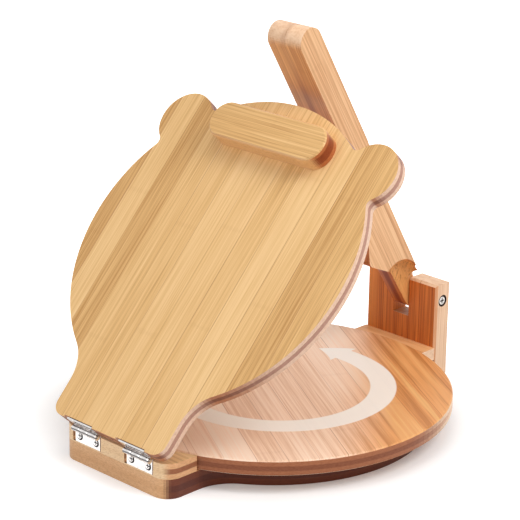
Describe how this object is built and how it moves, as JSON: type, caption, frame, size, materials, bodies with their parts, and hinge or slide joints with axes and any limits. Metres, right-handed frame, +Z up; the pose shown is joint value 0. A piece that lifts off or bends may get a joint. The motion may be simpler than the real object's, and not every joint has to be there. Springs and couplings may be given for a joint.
{
  "type": "tortilla press",
  "caption": "Bamboo tortilla press: an eared round lid hinged to a base with a turntable, and a lever on a rear post that presses the lid down.",
  "frame": {"origin": "on the turntable's axis, at the flat underside of the base board", "axes": "+X along the lid's hinge axis, +Y from the lid's hinges to the lever's post, +Z up"},
  "size_m": [0.282, 0.3389, 0.3062],
  "materials": {
    "bamboo_pale": "satin",
    "bamboo_golden": "satin",
    "bamboo_russet": "satin",
    "hinge_steel": "polished",
    "screw_steel": "polished",
    "glide_nylon": "matte"
  },
  "bodies": {
    "base": {"base_board": "bamboo_golden", "hinge_block": "bamboo_pale", "rear_ledge": "bamboo_golden", "post": "bamboo_russet", "turntable_pivot": "screw_steel", "glide_washer": "glide_nylon", "lever_pivot_bolt": "screw_steel", "lever_pivot_nut": "screw_steel", "hinge_leaf_base_left": "hinge_steel", "hinge_leaf_base_right": "hinge_steel", "hinge_pin_left": "hinge_steel", "hinge_pin_right": "hinge_steel", "hinge_screws_base": "screw_steel", "hinge_block_screws": "screw_steel", "ledge_screws": "screw_steel", "post_screws": "screw_steel"},
    "table": {"turntable": "bamboo_golden"},
    "cover": {"lid": "bamboo_pale", "press_block": "bamboo_pale", "press_block_screws": "screw_steel", "hinge_leaf_lid_left": "hinge_steel", "hinge_leaf_lid_right": "hinge_steel", "hinge_screws_lid": "screw_steel"},
    "arm": {"lever": "bamboo_golden"}
  },
  "joints": [
    {"name": "turntable_spin", "type": "hinge", "parent": "base", "child": "table", "pos_m": [0, 0, 0.0157], "axis": [0, 0, 1], "continuous": true},
    {"name": "lid_hinge", "type": "hinge", "parent": "base", "child": "cover", "pos_m": [0, -0.1623, 0.028], "axis": [1, 0, 0], "range_deg": [-46.8, 63.2]},
    {"name": "lever_pivot", "type": "hinge", "parent": "base", "child": "arm", "pos_m": [0, 0.1613, 0.064], "axis": [1, 0, 0], "range_deg": [-25.6, 34.5]}
  ],
  "couplings": [
    {"joint": "lever_pivot", "follows": "lid_hinge", "ratio": 0.545}
  ]
}
